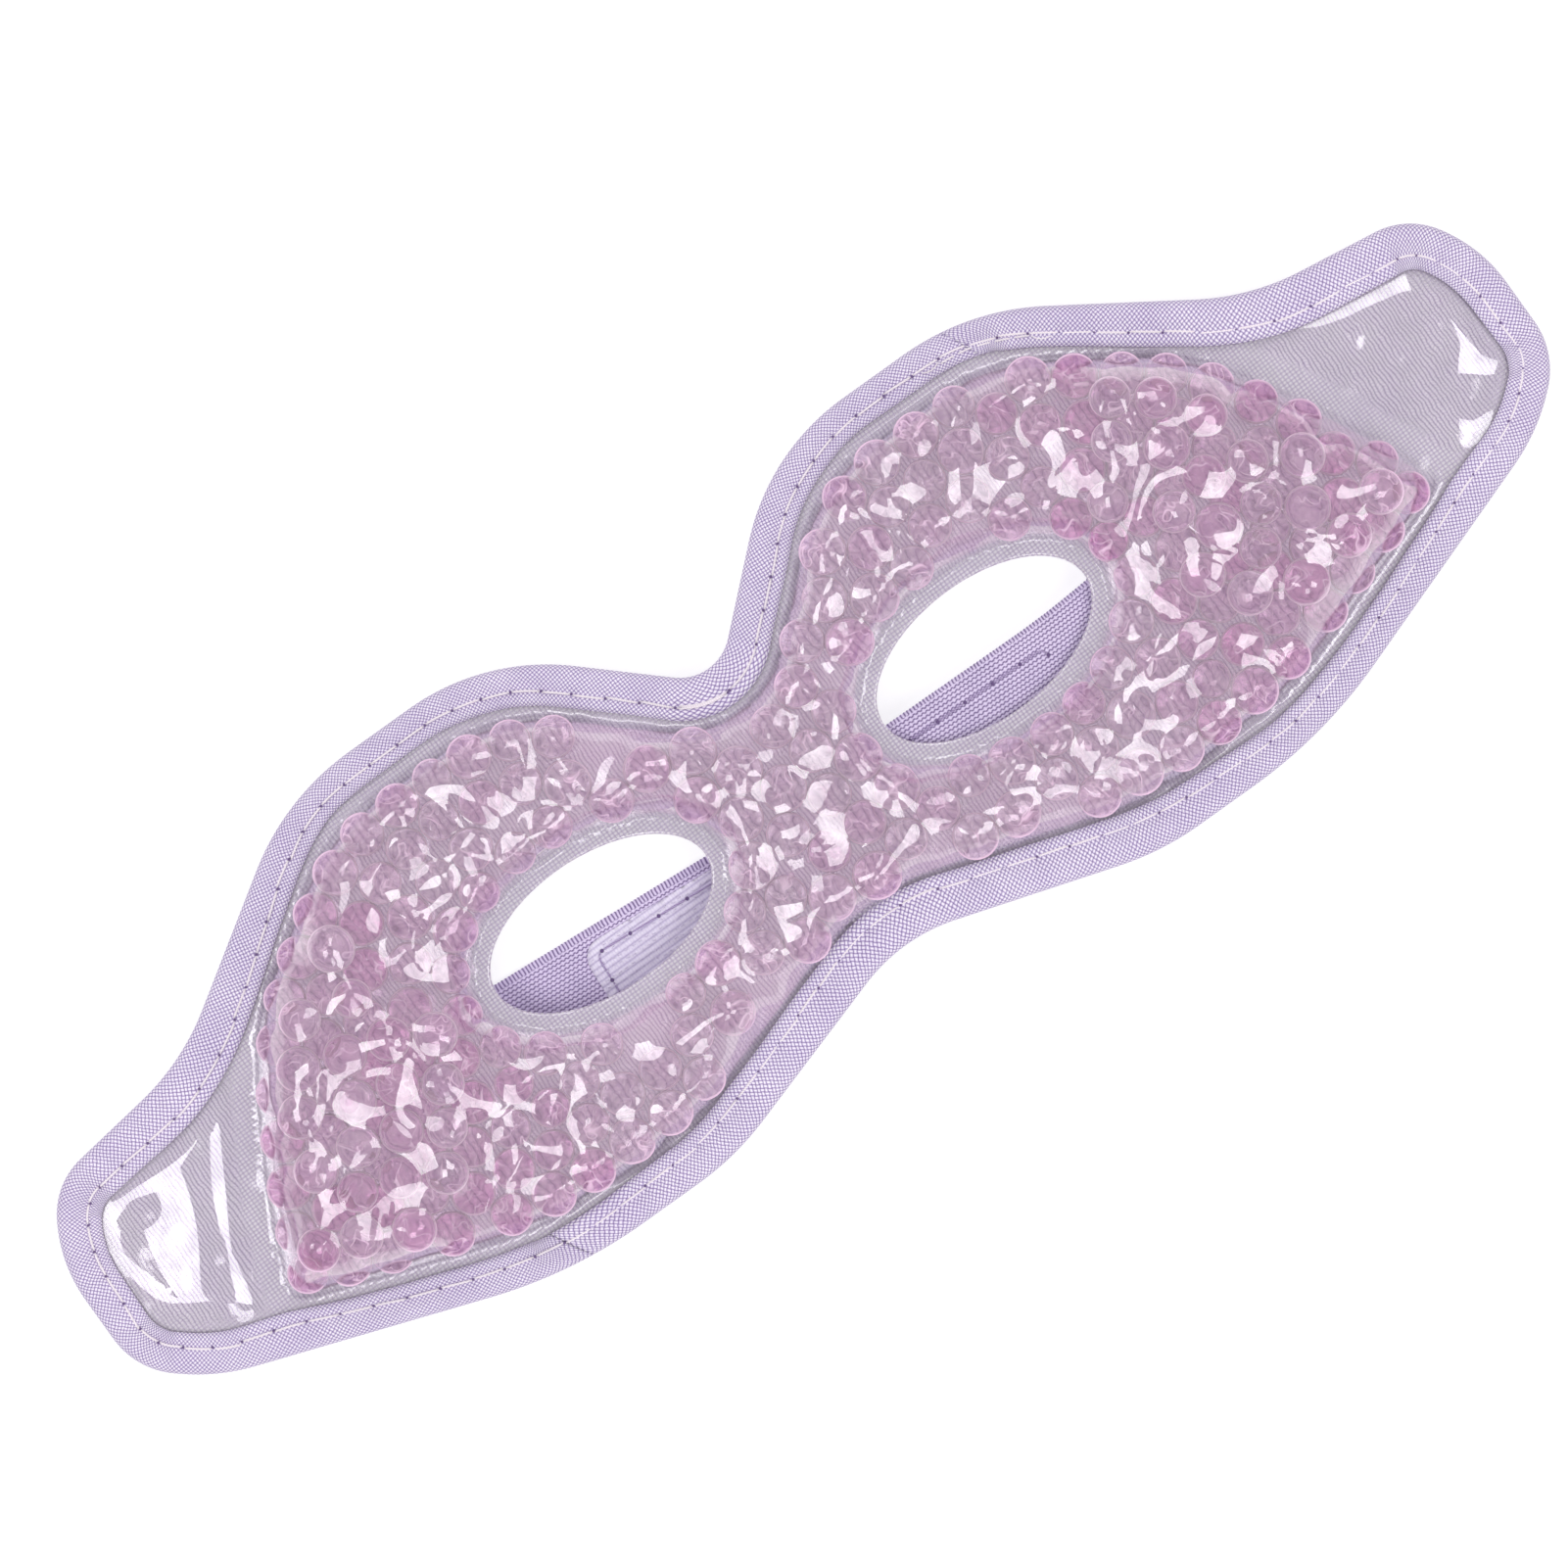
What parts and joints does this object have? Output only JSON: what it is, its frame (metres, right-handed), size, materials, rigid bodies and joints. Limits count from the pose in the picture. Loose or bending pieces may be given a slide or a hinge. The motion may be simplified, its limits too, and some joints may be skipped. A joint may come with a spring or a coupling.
{
  "type": "gel bead eye mask",
  "caption": "Soft eye mask with oval eye holes: clear film pouch of gel beads on knitted backing, bound edge, and an elastic head strap with a hook-and-loop closure.",
  "frame": {"origin": "under the middle of the outline, on the surface the closed strap lies on", "axes": "+X along the mask's length, +Y to the brow edge (the nose notch is at -Y), +Z out of the clear front"},
  "size_m": [0.25, 0.0794, 0.0197],
  "materials": {
    "clear_film": "clear glossy film",
    "back_film": "clear film bonded to the fabric",
    "backing_knit": "fine lilac warp knit",
    "carrier_gel": "clear liquid gel",
    "gel_bead": "wet translucent pink gel",
    "binding_weave": "lilac plain-weave bias tape",
    "sewing_thread": "polyester thread",
    "elastic_knit": "lilac knitted elastic",
    "hook_tape": "pale nylon hook tape",
    "loop_tape": "pale brushed loop tape"
  },
  "bodies": {
    "mask": {"front_film": "clear_film", "back_film": "back_film", "backing_fabric": "backing_knit", "carrier_gel": "carrier_gel", "binding_brow_strip": "binding_weave", "binding_nose_strip": "binding_weave", "needle_thread": "sewing_thread", "bobbin_thread": "sewing_thread", "hook_strap_anchor": "elastic_knit", "loop_strap_anchor": "elastic_knit", "hook_anchor_stitches": "sewing_thread", "loop_anchor_stitches": "sewing_thread", "beads_bridge": "gel_bead", "beads_brow_left": "gel_bead", "beads_brow_right": "gel_bead", "beads_cheek_left": "gel_bead", "beads_cheek_right": "gel_bead", "beads_lobe_left": "gel_bead", "beads_lobe_right": "gel_bead", "beads_upper_lobe_left": "gel_bead", "beads_upper_lobe_right": "gel_bead"},
    "hook_side_strap": {"hook_strap": "elastic_knit", "hook_tape": "hook_tape", "hook_tape_stitches": "sewing_thread"},
    "loop_side_strap": {"loop_strap": "elastic_knit", "loop_tape": "loop_tape", "loop_tape_stitches": "sewing_thread"}
  },
  "joints": [
    {"name": "hook_strap_fold", "type": "hinge", "parent": "mask", "child": "hook_side_strap", "pos_m": [0.116, 0.0049, 0.00435], "axis": [0, -1, 0], "range_deg": [0, 170]},
    {"name": "loop_strap_fold", "type": "hinge", "parent": "mask", "child": "loop_side_strap", "pos_m": [-0.116, 0.0049, 0.00435], "axis": [0, 1, 0], "range_deg": [0, 140]}
  ],
  "couplings": [
    {"joint": "loop_strap_fold", "follows": "hook_strap_fold", "ratio": 0.8}
  ]
}
